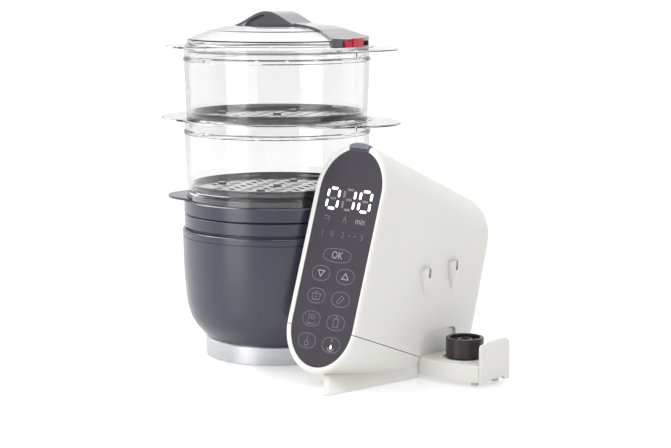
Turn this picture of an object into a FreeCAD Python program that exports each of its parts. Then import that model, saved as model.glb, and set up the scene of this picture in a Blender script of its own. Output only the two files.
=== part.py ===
import FreeCAD, Part
import math
import os
from FreeCAD import Vector as V

os.makedirs("parts", exist_ok=True)

# ---------------------------------------------------------------------------
# Baby food maker: a two-tier steamer tower on a round heated base, joined to a
# slanted control unit with a pull-out blender foot.  Millimetres, +Z up, +X to
# the blender foot, -Y to the control panel.  Origin: centre of the footprint.
# ---------------------------------------------------------------------------

# --- placing of the two halves ---------------------------------------------
RIGHT_X = 123.247         # control unit's flat right side
TOE_Y = -116.044          # front tip of the unit's plinth
TOWER_DX = -186.4         # tower axis from the unit's right side
TOWER_DY = 107.6          # tower axis from the plinth tip
TX = RIGHT_X + TOWER_DX
TY = TOE_Y + TOWER_DY

# --- steamer tower ----------------------------------------------------------
RING_R = 73.2             # silver foot ring
RING_Z0, RING_Z1 = 0.5, 19.0
COLLAR_R = 93.5
COLLAR_Z0, COLLAR_Z1 = 130.4, 143.3
WELL_R = 76.5
WELL_FLOOR = 60.0
TIER_PITCH = 72.0
TIER_S = 166.2            # shoulder of the lower basket
LID_SEAT = 310.2
LID_TOP = 330.0
HANDLE_TOP = 344.4
EAR_ANGLE = 14.0          # degrees from +X towards +Y
EAR_LOW = (134.5, 130.5)  # reach of the lower basket's ears, right and left
EAR_UP = (131.5, 124.0)   # reach of the upper basket's ears
EAR_B = 80.0
JUICE_EAR_ANGLE, JUICE_EAR_R = 36.0, 112.0
TRAY_ANGLE = 26.0
HANDLE_ANGLE = 8.0

# --- control unit -----------------------------------------------------------
UNIT_W = 88.0
UNIT_R = UNIT_W / 2.0
PILL_L = 220.0
LEAN = 17.0               # panel leans back
TOP_SLOPE = 23.7          # roof line falls to the back
LOW_SLOPE = 17.5
PILL_Y, PILL_Z = 49.0, 118.7
WALL = 2.6
BACK_Y0, BACK_LEAN = 191.04, 15.4
SHELL_Z0 = 0.5
BEZEL_R, BEZEL_DEPTH = 46.25, 30.0   # the front flares to the left
PANEL_R, PANEL_HALF, PANEL_X = 39.8, 64.2, -0.5
SEAM_Y, SEAM_Z, SEAM_SLOPE = 24.6, 55.0, 20.45
SEAM_BACK = 117.0
SEAM_GAP = 0.7

# --- blender foot -----------------------------------------------------------
FOOT_Y0, FOOT_Y1 = 117.4, 168.0
FOOT_X0, FOOT_X1 = -17.0, 68.0
FOOT_Z0, FOOT_Z1 = 4.0, 20.0
FOOT_TRAVEL = 66.0
# the foot's near side, drawn in towards its end: distance out, depth
FOOT_SIDE = [(12.0, 117.4), (24.0, 117.7), (36.0, 118.9), (46.0, 120.8), (56.0, 123.6), (64.4, 126.6)]
DRIVE_X, DRIVE_Y = 31.4, 146.0
COUPLING_R = 18.1
COUPLING_Z0, COUPLING_Z1 = 22.0, 40.5
SHAFT_R = 2.5


# --- helpers ----------------------------------------------------------------
def ux(x):
    return RIGHT_X + x


def uy(y):
    return TOE_Y + y


def face(pts):
    pts = [V(*p) for p in pts]
    return Part.Face(Part.makePolygon(pts + [pts[0]]))


def revolve(rz, cx=TX, cy=TY):
    return face([(cx + r, cy, z) for r, z in rz]).revolve(V(cx, cy, 0), V(0, 0, 1), 360)


def box(x0, x1, y0, y1, z0, z1):
    return Part.makeBox(x1 - x0, y1 - y0, z1 - z0, V(x0, y0, z0))


def ubox(x0, x1, y0, y1, z0, z1):
    return box(ux(x0), ux(x1), uy(y0), uy(y1), z0, z1)


def cyl(r, x, y, z0, z1):
    return Part.makeCylinder(r, z1 - z0, V(x, y, z0), V(0, 0, 1))


def ucyl(r, x, y, z0, z1):
    return cyl(r, ux(x), uy(y), z0, z1)


def ring(ro, ri, x, y, z0, z1):
    return cyl(ro, x, y, z0, z1).cut(cyl(ri, x, y, z0 - 1, z1 + 1))


def prism_z(pts, z0, z1):
    return face([(x, y, z0) for x, y in pts]).extrude(V(0, 0, z1 - z0))


def prism_x(yz, x0, x1):
    return face([(x0, y, z) for y, z in yz]).extrude(V(x1 - x0, 0, 0))


def fuse(shapes):
    s = shapes[0]
    if len(shapes) > 1:
        s = s.multiFuse(shapes[1:])
    return s.removeSplitter()


def group(shapes):
    return Part.makeCompound(shapes)


def around(shape, deg, cx=TX, cy=TY):
    s = shape.copy()
    s.rotate(V(cx, cy, 0), V(0, 0, 1), deg)
    return s


NODES = {}


def put(name, shape):
    if shape.ShapeType != "Compound" or len(shape.Solids) == 1:
        shape = shape.Solids[0] if len(shape.Solids) == 1 else shape
    bad = [s for s in shape.Solids if not s.isValid() or s.Volume < 0.01]
    print("%-22s solids %2d  volume %10.1f  %s" % (
        name, len(shape.Solids), sum(s.Volume for s in shape.Solids), "BAD" if bad else "ok"))
    NODES[name] = shape


# ===========================================================================
# Steamer tower: fixed base
# ===========================================================================
BRIDGE_Z = 8.0
HARNESS_R = 3.0

foot_ring = revolve([(71.0, RING_Z0), (RING_R, RING_Z0), (RING_R, 17.4), (71.8, RING_Z1), (66.0, RING_Z1),
                     (66.0, 17.2), (71.0, 15.6)])
foot_ring = foot_ring.cut(Part.makeCylinder(HARNESS_R + 0.3, 30, V(TX + 60, TY, BRIDGE_Z), V(1, 0, 0)))
put("foot_ring", foot_ring)

SCREW_AT = [(60.0, a) for a in (70.0, 190.0, 310.0)]
PAD_AT = [(61.0, a) for a in (10.0, 130.0, 250.0)]


def polar(r, a, cx=TX, cy=TY):
    return cx + r * math.cos(math.radians(a)), cy + r * math.sin(math.radians(a))


base_plate = fuse([revolve([(0, 1.2), (70.7, 1.2), (70.7, 3.6), (0, 3.6)])] +
                  [cyl(5.0, *polar(r, a), 3.6, 19.0) for r, a in SCREW_AT])
for r, a in SCREW_AT:
    x, y = polar(r, a)
    base_plate = base_plate.cut(cyl(2.15, x, y, 0, 25)).cut(cyl(4.0, x, y, 0, 3.2))
put("base_plate", base_plate)

tower_screws = []
for r, a in SCREW_AT:
    x, y = polar(r, a)
    tower_screws.append(fuse([cyl(3.7, x, y, 1.3, 3.2), cyl(2.0, x, y, 3.2, 22.3)]))
put("tower_screws", group(tower_screws))
put("tower_feet", group([cyl(7.0, *polar(r, a), 0.0, 1.2) for r, a in PAD_AT]))

# bowl housing: smooth outer wall, constant wall thickness, rolled lip
BOWL_OUT = [(72.6, 19.3), (78.6, 26.1), (85.3, 34.9), (89.5, 44.9), (91.6, 53.9), (93.1, 66.2), (94.1, 78.0),
            (95.1, 101.0), (95.5, 121.2)]
BOWL_IN = [(92.5, 120.6), (92.1, 101.0), (91.1, 78.4), (90.1, 66.6), (88.6, 54.8), (86.7, 46.4), (82.8, 37.0),
           (76.4, 28.4), (71.6, 22.3)]


def spline(rz):
    c = Part.BSplineCurve()
    c.interpolate([V(TX + r, TY, z) for r, z in rz])
    return c.toShape()


def line(a, b):
    return Part.LineSegment(V(TX + a[0], TY, a[1]), V(TX + b[0], TY, b[1])).toShape()


def arc(a, m, b):
    return Part.Arc(V(TX + a[0], TY, a[1]), V(TX + m[0], TY, m[1]), V(TX + b[0], TY, b[1])).toShape()


edges = [spline(BOWL_OUT),
         line((95.5, 121.2), (95.0, 121.5)), line((95.0, 121.5), (95.0, 122.1)), line((95.0, 122.1), (95.6, 122.4)),
         line((95.6, 122.4), (95.6, 126.6)), arc((95.6, 126.6), (95.01, 128.01), (93.6, 128.6)),
         line((93.6, 128.6), (92.5, 128.6)), line((92.5, 128.6), (92.5, 120.6)),
         spline(BOWL_IN), line((71.6, 22.3), (54.0, 22.3)), line((54.0, 22.3), (54.0, 19.3)),
         line((54.0, 19.3), (72.6, 19.3))]
bowl = Part.Face(Part.Wire(edges)).revolve(V(TX, TY, 0), V(0, 0, 1), 360)
bowl = Part.Solid(bowl) if bowl.ShapeType == "Shell" else bowl
for r, a in SCREW_AT:
    x, y = polar(r, a)
    bowl = bowl.cut(cyl(2.02, x, y, 10, 30))
put("bowl_housing", bowl)

well_collar = revolve([(92.2, 117.0), (92.2, 129.2), (91.4, 129.6), (91.4, 130.2), (92.6, COLLAR_Z0),
                       (COLLAR_R, 131.2), (COLLAR_R, 142.5), (92.7, COLLAR_Z1), (89.5, COLLAR_Z1), (89.5, 139.0),
                       (80.0, 139.0), (80.0, 136.0), (88.6, 136.0), (88.6, 117.0)])
put("well_collar", well_collar)

put("well_gasket", ring(85.5, 79.0, TX, TY, 135.6, 136.0))

water_well = revolve([(0, WELL_FLOOR), (69.0, WELL_FLOOR), (74.6, 64.0), (WELL_R, 134.4), (86.4, 134.4), (86.4, 135.6),
                      (75.3, 135.6), (73.4, 64.8), (68.6, WELL_FLOOR + 1.2), (0, WELL_FLOOR + 1.2)])
put("water_well", water_well)

put("heater_plate", revolve([(0, 55.0), (60.0, 55.0), (60.0, WELL_FLOOR), (0, WELL_FLOOR)]))

element = Part.makeTorus(46.0, 3.6, V(TX, TY, 51.4), V(0, 0, 1))
legs = [cyl(2.4, *polar(46.0, a), 34.0, 51.4) for a in (80.0, 100.0)]
for a in (80.0, 100.0):
    x, y = polar(46.0, a)
    legs += [cyl(3.4, x, y, 28.0, 34.0), box(x - 0.4, x + 0.4, y - 3, y + 3, 24.0, 28.5)]
put("heating_element", fuse([element] + legs))
put("thermostat", fuse([cyl(9.0, TX, TY, 48.0, 55.0), box(TX - 12, TX + 12, TY - 3, TY + 3, 46.0, 49.0),
                        cyl(5.0, TX, TY, 44.0, 47.0)]))
put("thermal_fuse", fuse([Part.makeCylinder(2.2, 16, V(TX - 38, TY - 8, 52.7), V(0, 1, 0)),
                          box(TX - 39.5, TX - 36.5, TY - 2.5, TY + 2.5, 50.2, 55.0)]))

# low bridge that joins the tower's base to the control unit, with the wiring inside
bridge = ubox(TOWER_DX + 66, -83.6, 96.6, 114.6, 2.0, 15.4)
bridge = bridge.cut(cyl(RING_R + 0.05, TX, TY, -5, 40))
bridge = bridge.cut(Part.makeCylinder(HARNESS_R + 0.3, 60, V(TX + 60, TY, BRIDGE_Z), V(1, 0, 0)))
put("dock_bridge", bridge)
harness = fuse([Part.makeCylinder(HARNESS_R, 106, V(TX + 14, TY, BRIDGE_Z), V(1, 0, 0)),
                box(TX + 6, TX + 16, TY - 9, TY + 9, 4.2, 16.0)])
put("wire_harness", harness)

# ===========================================================================
# Steamer tower: lift-off pieces
# ===========================================================================
def ear(r0, r1, b, z0, z1, gusset=0.0, gusset_r=0.0):
    """One end of an elliptical brim, along +X from the tower axis, with a thin web under it."""
    f = Part.Face(Part.Wire(Part.Ellipse(V(TX, TY, z0), r1, b).toShape()))
    s = f.extrude(V(0, 0, z1 - z0)).common(box(TX + 20, TX + 200, TY - 200, TY + 200, z0 - 1, z1 + 1))
    if gusset:
        g = face([(TX + r0, TY - 1.1, z0), (TX + gusset_r, TY - 1.1, z0), (TX + r0, TY - 1.1, z0 - gusset)])
        s = s.fuse(g.extrude(V(0, 2.2, 0)))
    return s.cut(cyl(r0, TX, TY, 0, 400)).removeSplitter()


juice = revolve([(88.9, 139.4), (88.9, 143.8), (92.9, 143.8), (93.8, 144.6), (93.8, 156.8), (92.8, 157.9),
                 (88.5, 157.9), (88.5, 163.3), (86.5, 163.3), (86.5, 150.0), (86.4, 146.0), (86.4, 141.6),
                 (24.5, 141.6), (24.5, 139.4)])
juice_ear = around(ear(90.9, JUICE_EAR_R, 62.0, 157.4, 159.8, 6.0, 104.0), 180.0 + JUICE_EAR_ANGLE)
put("juice_tray", fuse([juice, juice_ear]))
# chimney pressed into the tray's floor
put("juice_chimney", revolve([(20.0, 139.4), (24.45, 139.4), (24.45, 153.0), (22.5, 155.4), (20.0, 155.4)]))


def basket(s, reach, skirt):
    b = revolve(skirt + [(90.3, s), (92.6, s + 57.0), (93.7, s + 58.0),
                 (93.7, s + 60.4), (92.4, s + 61.4), (92.4, s + 69.2), (96.5, s + 69.9), (96.5, s + 71.6),
                 (90.2, s + 71.6), (89.6, s + 70.4), (89.6, s + 62.0), (90.3, s + 58.0), (88.0, s + 2.0),
                 (86.4, s - 0.4), (80.5, s - 0.4), (80.5, s - 2.2), (skirt[0][0], s - 2.2)])
    ears = [around(ear(91.0, r, EAR_B, s + 69.4, s + 71.2, 8.5, 112.0), EAR_ANGLE + k) for r, k in zip(reach, (0.0, 180.0))]
    return fuse([b] + ears)


def tray(s):
    t = revolve([(82.2, s), (85.3, s), (85.6, s + 4.5), (86.9, s + 6.5), (86.9, s + 7.6), (85.8, s + 7.6),
                 (83.8, s + 5.6), (83.4, s + 3.6), (0, s + 3.6), (0, s + 1.8), (82.2, s + 1.8)])
    t = fuse([t] + [cyl(4.2, *polar(rr, aa), s + 1.8, s + 5.0) for rr, aa in
                    ((0, 0), (46, TRAY_ANGLE + 90), (46, TRAY_ANGLE - 90), (60, TRAY_ANGLE), (60, TRAY_ANGLE + 180))])
    slots = []
    for i in range(-4, 5):
        for j in range(-4, 5):
            x, y = i * 15.5, j * 15.0
            if math.hypot(x, y) > 68.0:
                continue
            if min(math.hypot(x - rr * math.cos(math.radians(aa)), y - rr * math.sin(math.radians(aa)))
                   for rr, aa in ((0, 0), (46, 90), (46, -90), (60, 0), (60, 180))) < 10.5:
                continue
            sl = Part.makeBox(13.0, 4.6, 12.0, V(TX + x - 6.5, TY + y - 2.3, s - 4))
            sl.rotate(V(TX + x, TY + y, 0), V(0, 0, 1), 45.0 if i % 2 else -45.0)
            slots.append(sl)
    slots = around(group(slots), TRAY_ANGLE)
    return t.cut(slots)


# the lower basket's skirt goes over the juice tray's rim, the upper one's into the lower basket
TIER_U = TIER_S + TIER_PITCH
put("lower_basket", basket(TIER_S, EAR_LOW, [(88.9, 158.2), (90.3, 158.2)]))
put("upper_basket", basket(TIER_U, EAR_UP, [(86.0, TIER_U - 9.5), (88.0, TIER_U - 9.5), (88.0, TIER_U)]))
put("lower_tray", tray(TIER_S))
put("upper_tray", tray(TIER_S + TIER_PITCH))

# lid: clear shell with a locating skirt, domed cone and flat crown
lid = revolve([(86.4, 303.4), (88.4, 303.4), (88.4, LID_SEAT), (91.2, LID_SEAT), (91.2, 311.6), (89.6, 312.2),
               (88.9, 313.0), (88.8, 317.3), (66.5, 326.0), (52.0, 329.0), (44.0, LID_TOP), (0, LID_TOP), (0, 328.0),
               (44.0, 328.0), (51.6, 327.0), (65.8, 324.1), (86.6, 316.0)])
VENT_ANGLE = HANDLE_ANGLE
vents = [cyl(2.2, *polar(79.0, VENT_ANGLE + d), 300, 340) for d in (-5.0, 0.0, 5.0)]
for v in vents:
    lid = lid.cut(v)
put("lid_shell", lid)
lid_env = revolve([(0, 290), (91.2, 290), (91.2, 311.6), (89.6, 312.2), (88.9, 313.0), (88.8, 317.3), (66.5, 326.0),
                   (52.0, 329.0), (44.0, LID_TOP), (0, LID_TOP)])
put("lid_seal", ring(89.2, 88.4, TX, TY, 304.5, 306.5))


def handle_frame(shape):
    """Local x along the handle, y across it, z up, about the tower axis."""
    s = shape.copy()
    s.rotate(V(0, 0, 0), V(0, 0, 1), HANDLE_ANGLE)
    s.translate(V(TX, TY, 0))
    return s


ARCH_HALF = 47.0


def arch_z(u, top, base, half):
    return base + (top - base) * 0.5 * (1 + math.cos(math.pi * max(-1.0, min(1.0, u / half))))


def arch_prism(top_off, low_off, half_v, u0, u1, n=36):
    us = [u0 + (u1 - u0) * i / n for i in range(n + 1)]
    up = [V(u, -half_v, arch_z(u, HANDLE_TOP, 329.4, ARCH_HALF) - top_off) for u in us]
    lo = [V(u, -half_v, max(320.0, arch_z(u, HANDLE_TOP, 329.4, ARCH_HALF) - low_off)) for u in us]
    c1, c2 = Part.BSplineCurve(), Part.BSplineCurve()
    c1.interpolate(up)
    c2.interpolate(lo)
    w = Part.Wire([c1.toShape(), Part.LineSegment(up[-1], lo[-1]).toShape(), c2.toShape(),
                   Part.LineSegment(lo[0], up[0]).toShape()])
    return Part.Face(w).extrude(V(0, 2 * half_v, 0))


strap = arch_prism(0.0, 2.8, 17.0, -45.0, 45.0)
web = arch_prism(1.4, 24.0, 11.5, -44.0, 44.0)
plan = [(34.0, -16.0), (52.0, -17.2), (70.0, -20.4), (84.0, -25.0)]
end = [(95.2 * math.cos(t), 95.2 * math.sin(t)) for t in [math.radians(-17.5 + 38.0 * i / 16) for i in range(17)]]
plan = plan + end + [(84.0, 28.0), (70.0, 22.0), (52.0, 17.6), (34.0, 16.0)]
tail_plan = prism_z(plan, 300, 350)
tail_side = [(32.0, 305.0), (32.0, 333.2), (40.0, 332.4), (50.0, 331.4), (58.0, 330.2), (68.0, 327.9), (80.0, 323.8),
             (90.0, 320.2), (97.0, 318.0), (97.0, 310.6), (88.0, 310.6)]
tail_prof = face([(u, -60.0, z) for u, z in tail_side]).extrude(V(0, 120, 0))
tail = tail_plan.common(tail_prof)
handle = strap.fuse([web, tail]).removeSplitter()
handle = handle_frame(handle).cut(lid_env).cut(cyl(100, TX, TY, 280, 310.6))


def sector(ro, ri, a0, a1, z0, z1):
    """Piece of a ring about the tower axis between two angles."""
    return ring(ro, ri, TX, TY, z0, z1).common(
        prism_z([(TX, TY), polar(200.0, a0), polar(200.0, a1)], z0, z1)).Solids[0]


VENT_TRAVEL = 9.5
VENT_A0, VENT_A1 = HANDLE_ANGLE - 8.6, HANDLE_ANGLE + 8.6
handle = handle.cut(sector(100.0, 91.4, VENT_A0 - 0.4, VENT_A1 + VENT_TRAVEL + 0.6, 311.6, 316.4))
# steam way from the lid's vents, under the tail, to the slider's slot
way = lid_env.copy()
way.translate(V(0, 0, 1.3))
handle = handle.cut(way.common(sector(91.5, 75.0, VENT_A0 + 0.5, VENT_A1 - 0.5, 312.5, 330.0)))
handle = handle.cut(sector(91.6, 88.0, VENT_A0 + 0.5, VENT_A1 - 0.5, 312.5, 318.0))
hs = sorted(handle.Solids, key=lambda s: -s.Volume)
print("lid handle pieces", [round(s.Volume, 1) for s in hs])
put("lid_handle", hs[0])
put("vent_slider", fuse([sector(95.8, 92.0, VENT_A0, VENT_A1, 312.0, 316.0),
                         sector(97.2, 95.8, VENT_A0, VENT_A1, 310.9, 317.4),
                         sector(98.6, 95.8, VENT_A0 + 6.0, VENT_A0 + 15.5, 310.9, 319.4)]))

# ===========================================================================
# Control unit: casing
# ===========================================================================
sl, cl = math.sin(math.radians(LEAN)), math.cos(math.radians(LEAN))
T_DIR = V(0, sl, cl)            # up along the panel
N_DIR = V(0, -cl, sl)           # out of the panel
MID_X = ux(-UNIT_R)


def pp(x, t, n):
    """Point by panel coordinates: x from the unit's mid-plane, t up the panel, n out of it."""
    return V(MID_X + x, uy(PILL_Y) + t * sl - n * cl, PILL_Z + t * cl + n * sl)


def stadium_wire(r, t_top, t_low, n, x=0.0):
    a, b = pp(x - r, t_top, n), pp(x + r, t_top, n)
    c, d = pp(x + r, t_low, n), pp(x - r, t_low, n)
    return Part.Wire([Part.Arc(a, pp(x, t_top + r, n), b).toShape(), Part.LineSegment(b, c).toShape(),
                      Part.Arc(c, pp(x, t_low - r, n), d).toShape(), Part.LineSegment(d, a).toShape()])


def stadium(r, half, n0, n1, x=0.0):
    f = Part.Face(stadium_wire(r, half, -half, n0, x))
    return f.extrude(N_DIR * (n1 - n0))


HALF = (PILL_L - 2 * UNIT_R) / 2.0
ROOF = math.tan(math.radians(TOP_SLOPE - LEAN))
KEEL = math.tan(math.radians(LOW_SLOPE - LEAN))


def loft_body(d, n_front, depth=215.0):
    n_back = -depth
    w2 = stadium_wire(UNIT_R - d, HALF + ROOF * n_back, -HALF + KEEL * n_back, n_back)
    if d > 0:
        w1 = stadium_wire(UNIT_R - d, HALF + ROOF * n_front, -HALF + KEEL * n_front, n_front)
        return Part.makeLoft([w1, w2], True, True)
    half = PILL_L / 2.0 - BEZEL_R
    w0 = stadium_wire(BEZEL_R, half, -half, n_front, UNIT_R - BEZEL_R)
    w1 = stadium_wire(UNIT_R, HALF - ROOF * BEZEL_DEPTH, -HALF - KEEL * BEZEL_DEPTH, -BEZEL_DEPTH)
    return Part.makeLoft([w0, w1, w2], True, True)


def back_cut(d):
    """Everything behind the back wall, set in by d."""
    tl = math.tan(math.radians(BACK_LEAN))
    off = d / math.cos(math.radians(BACK_LEAN))
    y0 = BACK_Y0 - off
    return prism_x([(uy(y0 - 60 * tl), -60), (uy(y0 + 300 * tl), 300), (uy(500), 300), (uy(500), -60)],
                   ux(-200), ux(100))


def casing(d, n_front, z_low, r_back):
    b = loft_body(d, n_front)
    block = ubox(-UNIT_W + d, -d, SEAM_BACK + 0.15 * d, 240, z_low, 70)
    b = b.fuse(block).removeSplitter()
    b = b.cut(back_cut(d)).cut(ubox(-200, 100, -100, 400, -200, z_low))
    # corner between the back wall and the roof and sides
    tl = math.tan(math.radians(BACK_LEAN))
    off = d / math.cos(math.radians(BACK_LEAN))

    def on_back(p):
        return abs(p.y - (uy(BACK_Y0 - off) + p.z * tl)) < 0.02

    es = []
    for e in b.Edges:
        ps = [e.valueAt(e.FirstParameter + (e.LastParameter - e.FirstParameter) * k / 4.0) for k in range(5)]
        if all(on_back(p) for p in ps) and not all(abs(p.z - z_low) < 0.02 for p in ps):
            es.append(e)
    if r_back > 0 and es:
        try:
            f = b.makeFillet(r_back, es)
            if f.isValid() and f.Volume > 0.8 * b.Volume:
                b = f
            else:
                print("back fillet not valid", r_back)
        except Exception as exc:
            print("back fillet failed", r_back, exc)
    return b


outer = casing(0.0, 0.0, SHELL_Z0, 13.0)
print("casing outer", outer.isValid(), len(outer.Solids), round(outer.Volume))
front_edges = []
for e in outer.Edges:
    ps = [e.valueAt(e.FirstParameter + (e.LastParameter - e.FirstParameter) * k / 4.0) for k in range(5)]
    if all(abs((p - pp(0, 0, 0)).dot(N_DIR)) < 0.02 for p in ps):
        front_edges.append(e)
print("front edges", len(front_edges))
try:
    f = outer.makeFillet(3.4, front_edges)
    if f.isValid():
        outer = f
    else:
        print("front fillet not valid")
except Exception as exc:
    print("front fillet failed", exc)
outer = outer.Solids[0]


def ruled(bottom, top, z0, z1):
    """Solid between two polygons with the same number of corners."""
    w0 = Part.makePolygon([V(ux(x), uy(y), z0) for x, y in bottom + bottom[:1]])
    w1 = Part.makePolygon([V(ux(x), uy(y), z1) for x, y in top + top[:1]])
    return Part.makeLoft([w0, w1], True, True)


PLINTH_LOW = [(-11.8, 0.4), (-8.6, 4.6), (-0.8, 118.0), (-87.0, 118.0), (-84.0, 74.0), (-78.0, 66.0)]
PLINTH_TOP = [(-41.0, 30.0), (-37.0, 32.0), (-3.0, 118.0), (-85.0, 118.0), (-80.0, 84.0), (-76.0, 78.0)]


def inset(poly, d):
    cx = sum(p[0] for p in poly) / len(poly)
    cy = sum(p[1] for p in poly) / len(poly)
    out = []
    for x, y in poly:
        L = math.hypot(x - cx, y - cy)
        k = max(0.0, (L - 1.45 * d) / L)
        out.append((cx + (x - cx) * k, cy + (y - cy) * k))
    return out


plinth = ruled(PLINTH_LOW, PLINTH_TOP, SHELL_Z0, 18.0)
plinth_in = ruled(inset(PLINTH_LOW, WALL), inset(PLINTH_TOP, WALL), SHELL_Z0 - 1.0, 14.6)
outer = outer.fuse(plinth).removeSplitter()
inner = casing(WALL, -5.0, SHELL_Z0 - 6.0, 10.4).Solids[0]
shell = outer.cut(inner).cut(plinth_in).cut(ubox(-82.0, -5.4, 115.6, 118.2, -6.0, 47.0))
print("shell", shell.isValid(), len(shell.Solids), round(shell.Volume))

# panel recess and window
shell = shell.cut(stadium(PANEL_R + 0.3, PANEL_HALF, -2.8, 20.0, PANEL_X))
shell = shell.cut(stadium(PANEL_R - 4.0, PANEL_HALF, -12.0, 20.0, PANEL_X))

# opening for the blender foot, open to the table
OPEN_EDGE = [(116.7, 19.5), (118.2, 26.0), (120.0, 32.0), (122.0, 36.6), (124.4, 39.9), (127.2, 41.7), (131.5, 42.5),
             (140.0, 43.0), (152.0, 43.5), (162.0, 43.7), (165.6, 43.1), (167.8, 41.2), (168.7, 38.0)]
oc = Part.BSplineCurve()
oc.interpolate([V(ux(-12), uy(a), b) for a, b in OPEN_EDGE])
oa, ob = V(ux(-12), uy(116.7), -5), V(ux(-12), uy(168.7), -5)
opening = Part.Face(Part.Wire([oc.toShape(), Part.LineSegment(V(ux(-12), uy(168.7), 38.0), ob).toShape(),
                               Part.LineSegment(ob, oa).toShape(),
                               Part.LineSegment(oa, V(ux(-12), uy(116.7), 19.5)).toShape()])).extrude(V(32, 0, 0))
shell = shell.cut(opening)
# wiring hole from the tower
shell = shell.cut(ubox(-95, -78, 96.2, 115.0, 1.6, 15.8))
# hook roots and inlet seat are face to face; the inlet passes through the back wall
tlb = math.tan(math.radians(BACK_LEAN))
INLET_Z = 27.0
INLET_Y = BACK_Y0 + INLET_Z * tlb


def back_frame(shape):
    """Local y out of the back wall, z up it, origin on the wall at the inlet's centre."""
    s = shape.copy()
    s.rotate(V(0, 0, 0), V(1, 0, 0), -BACK_LEAN)
    s.translate(V(MID_X, uy(INLET_Y), INLET_Z))
    return s


shell = shell.cut(back_frame(box(-11.3, 11.3, -8.0, 8.0, -8.3, 8.3)))
# slot for the power button in the top of the rim
BTN_W = 12.5


def panel_box(x0, x1, t0, t1, n0, n1):
    f = Part.Face(Part.makePolygon([pp(x0, t0, n0), pp(x1, t0, n0), pp(x1, t1, n0), pp(x0, t1, n0), pp(x0, t0, n0)]))
    return f.extrude(N_DIR * (n1 - n0))


def panel_prism(xt, n0, n1):
    pts = [pp(x, t, n0) for x, t in xt]
    return Part.Face(Part.makePolygon(pts + [pts[0]])).extrude(N_DIR * (n1 - n0))


BTN_T0, BTN_T1 = 104.8, 110.4
BTN_TRAVEL = 1.8
slot = panel_box(-BTN_W - 0.5, BTN_W + 0.5, 102.4, 118.0, -4.7, 8.0)
slot = slot.fuse([panel_box(-BTN_W + 0.3, BTN_W - 0.3, 99.5, 104.0, -4.7, -2.6), panel_box(-4.2, 4.2, 96.0, 106.6, -9.6, -2.6)])
# backing behind the button, with a way through for its stem
backing = panel_box(-13.2, 13.2, 100.9, 105.4, -7.0, -4.7)
shell = shell.fuse(backing).removeSplitter().cut(slot)

# seam between the upper and lower shells
ts = math.tan(math.radians(SEAM_SLOPE))


def seam_z(y):
    return SEAM_Z - ts * (y - SEAM_Y)


def below(g):
    """Region of the lower shell, drawn back from the seam by g."""
    return prism_x([(uy(-80), seam_z(-80) - g), (uy(SEAM_BACK - g), seam_z(SEAM_BACK - g) - g),
                    (uy(SEAM_BACK - g), -30), (uy(-80), -30)], ux(-140), ux(40))


lower = shell.common(below(SEAM_GAP / 2))
upper = shell.cut(below(-SEAM_GAP / 2))


def post(x, y, z0, z1, rib):
    p = ucyl(3.6, x, y, z0, z1).fuse(ubox(*rib))
    return p.cut(ucyl(1.62, x, y, z0 - 1, z1 + 1))


LOW_POSTS = [(-10.0, 100.0, (-9.0, -5.2, 99.0, 101.0, 8.0, 18.0))]
UP_POSTS = [(-9.6, 181.0, (-9.0, -2.4, 180.0, 182.0, 6.0, 18.0)), (-78.4, 181.0, (-85.8, -79.0, 180.0, 182.0, 6.0, 18.0))]
big = sorted(lower.Solids, key=lambda s: -s.Volume)
print("lower pieces", [round(s.Volume, 1) for s in big])
lower = big[0]
p = post(*LOW_POSTS[0][:2], 2.4, 18.0, LOW_POSTS[0][2])
lower = lower.fuse(p).removeSplitter().cut(ucyl(1.62, *LOW_POSTS[0][:2], -1, 18.5))
big = sorted(upper.Solids, key=lambda s: -s.Volume)
print("upper pieces", [round(s.Volume, 1) for s in big])
upper = big[0]
for q in UP_POSTS:
    upper = upper.fuse(post(q[0], q[1], 2.4, 18.0, q[2])).removeSplitter().cut(ucyl(1.62, q[0], q[1], -1, 18.5))
put("lower_shell", lower)
put("upper_shell", upper)

# bottom covers, each side of the foot's bay
COVER_Z0, COVER_Z1 = 0.7, 2.2
front_in = [(-17.0, 8.0), (-14.0, 11.0), (-5.0, 114.6), (-82.4, 114.6), (-80.6, 77.0), (-75.0, 70.5)]
cover_f = prism_z([(ux(x), uy(y)) for x, y in inset(front_in, 2.0)], COVER_Z0, COVER_Z1)
cover_f = cover_f.cut(ubox(-95, -70, 95.8, 115.4, 1.6, 15.8))
cover_f = cover_f.cut(ucyl(1.7, -10.0, 100.0, -1, 5))
put("bottom_cover_front", cover_f)
cover_r = ubox(-84.6, -3.4, 173.2, 187.9, COVER_Z0, COVER_Z1)
cover_r = cover_r.makeFillet(10.4, [e for e in cover_r.Edges if e.BoundBox.ZLength > 1 and e.BoundBox.YMax > uy(187.7)])
for q in UP_POSTS:
    cover_r = cover_r.cut(ucyl(1.7, q[0], q[1], -1, 5))
put("bottom_cover_rear", cover_r)
SCREWS_AT = [LOW_POSTS[0][:2]] + [q[:2] for q in UP_POSTS]
put("unit_screws", group([fuse([ucyl(3.0, x, y, 0.0 + 0.3, COVER_Z0), ucyl(1.6, x, y, COVER_Z0, 15.0)])
                          for x, y in SCREWS_AT]))
put("unit_feet", group([ucyl(5.0, x, y, 0.0, COVER_Z0) for x, y in
                        ((-19.0, 22.0), (-18.0, 88.0), (-70.0, 84.0), (-26.0, 182.0), (-62.0, 182.0))]))

# ===========================================================================
# Control unit: panel and electronics
# ===========================================================================
overlay = stadium(PANEL_R, PANEL_HALF, -2.6, -0.5, PANEL_X)
overlay = overlay.cut(panel_box(-BTN_W - 1.2, BTN_W + 1.2, 102.2, 130.0, -12, 10))
put("panel_overlay", overlay)

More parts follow.
